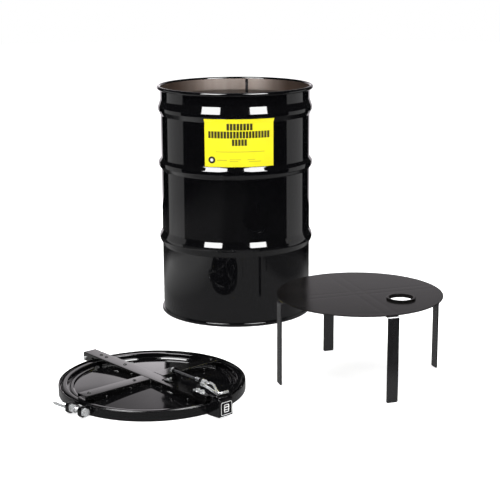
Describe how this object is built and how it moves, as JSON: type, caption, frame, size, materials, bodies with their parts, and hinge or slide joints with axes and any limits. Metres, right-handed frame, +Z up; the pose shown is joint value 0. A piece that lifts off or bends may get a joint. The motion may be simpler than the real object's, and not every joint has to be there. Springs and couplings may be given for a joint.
{
  "type": "open-head steel drum kit",
  "caption": "Open-head steel drum shown open, with its hinged latching lid in a bolted closing ring and a four-legged drain table that stands inside it.",
  "frame": {"origin": "on the drum's axis, in the plane of its chime where it stands on the floor", "axes": "+Z up along the drum's axis; -Y towards the label and the two loose pieces, +X towards the drain table's side"},
  "size_m": [1.2563, 1.5722, 0.8817],
  "materials": {
    "drum_black": "high-gloss black enamel outside, brown-grey lined steel inside",
    "bare_steel": "rolled seam weld under a thin lining",
    "label_yellow": "satin printed film, plain bars only",
    "black_gloss": "glossy black powder coat",
    "badge_black": "glossy plate with a plain pale border",
    "zinc": "bright zinc plate",
    "dark_zinc": "dark plated button heads",
    "chrome_rod": "bright plated round bar",
    "gasket_rubber": "matt rubber",
    "table_black": "satin black coating over plain steel",
    "collar_steel": "turned edge, lightly coated"
  },
  "bodies": {
    "drum": {"drum_shell": "drum_black", "drum_bottom_head": "drum_black", "side_seam_weld": "bare_steel", "drum_label": "label_yellow"},
    "closure_ring": {"ring_band": "black_gloss", "ring_lug_head_end": "black_gloss", "ring_lug_thread_end": "black_gloss", "hinge_bracket": "black_gloss", "hinge_pin": "zinc", "latch_hood": "black_gloss", "hood_badge": "badge_black", "latch_striker": "zinc"},
    "ring_bolt": {"ring_bolt": "zinc"},
    "jam_nut": {"jam_nut": "zinc"},
    "lid": {"lid_disc": "black_gloss", "lid_gasket": "gasket_rubber", "lid_arm": "black_gloss", "cross_bar_near": "black_gloss", "cross_bar_far": "black_gloss", "bar_bolts": "dark_zinc", "bar_nuts": "dark_zinc", "flange_rivets": "zinc", "clip_angles": "black_gloss", "latch_riser": "black_gloss", "riser_bolts": "zinc", "rod_guide_rear": "black_gloss", "rod_guide_front": "black_gloss", "guide_screws": "zinc", "return_spring": "zinc"},
    "latch_handle": {"latch_rod": "chrome_rod", "latch_dog": "zinc", "rod_collar": "zinc"},
    "drain_table": {"table_plate": "table_black", "hole_collar": "collar_steel", "leg_strap_long": "table_black", "leg_strap_front": "table_black", "leg_strap_back": "table_black", "table_welds": "table_black"}
  },
  "joints": [
    {"name": "lid_lift", "type": "slide", "parent": "drum", "child": "closure_ring", "axis": [0, 0, 1], "range_m": [0, 1]},
    {"name": "lid_hinge", "type": "hinge", "parent": "closure_ring", "child": "lid", "pos_m": [-0.49402, -0.70831, 0.026], "axis": [-0.7513, -0.66, 0], "range_deg": [0, 110]},
    {"name": "latch_turn", "type": "hinge", "parent": "lid", "child": "latch_handle", "pos_m": [-0.14437, -1.076, 0.08], "axis": [-0.66, 0.7513, 0], "range_deg": [0, 35], "stiffness_Nm_per_rad": 0.6, "springref_deg": -28.65},
    {"name": "ring_bolt_turn", "type": "hinge", "parent": "closure_ring", "child": "ring_bolt", "pos_m": [-0.48168, -1.21391, 0.02], "axis": [0.749, -0.6626, 0], "continuous": true},
    {"name": "jam_nut_turn", "type": "hinge", "parent": "ring_bolt", "child": "jam_nut", "pos_m": [-0.48168, -1.21391, 0.02], "axis": [0.749, -0.6626, 0], "continuous": true},
    {"name": "table_lift", "type": "slide", "parent": "drum", "child": "drain_table", "axis": [0, 0, 1], "range_m": [0, 0.95]}
  ]
}
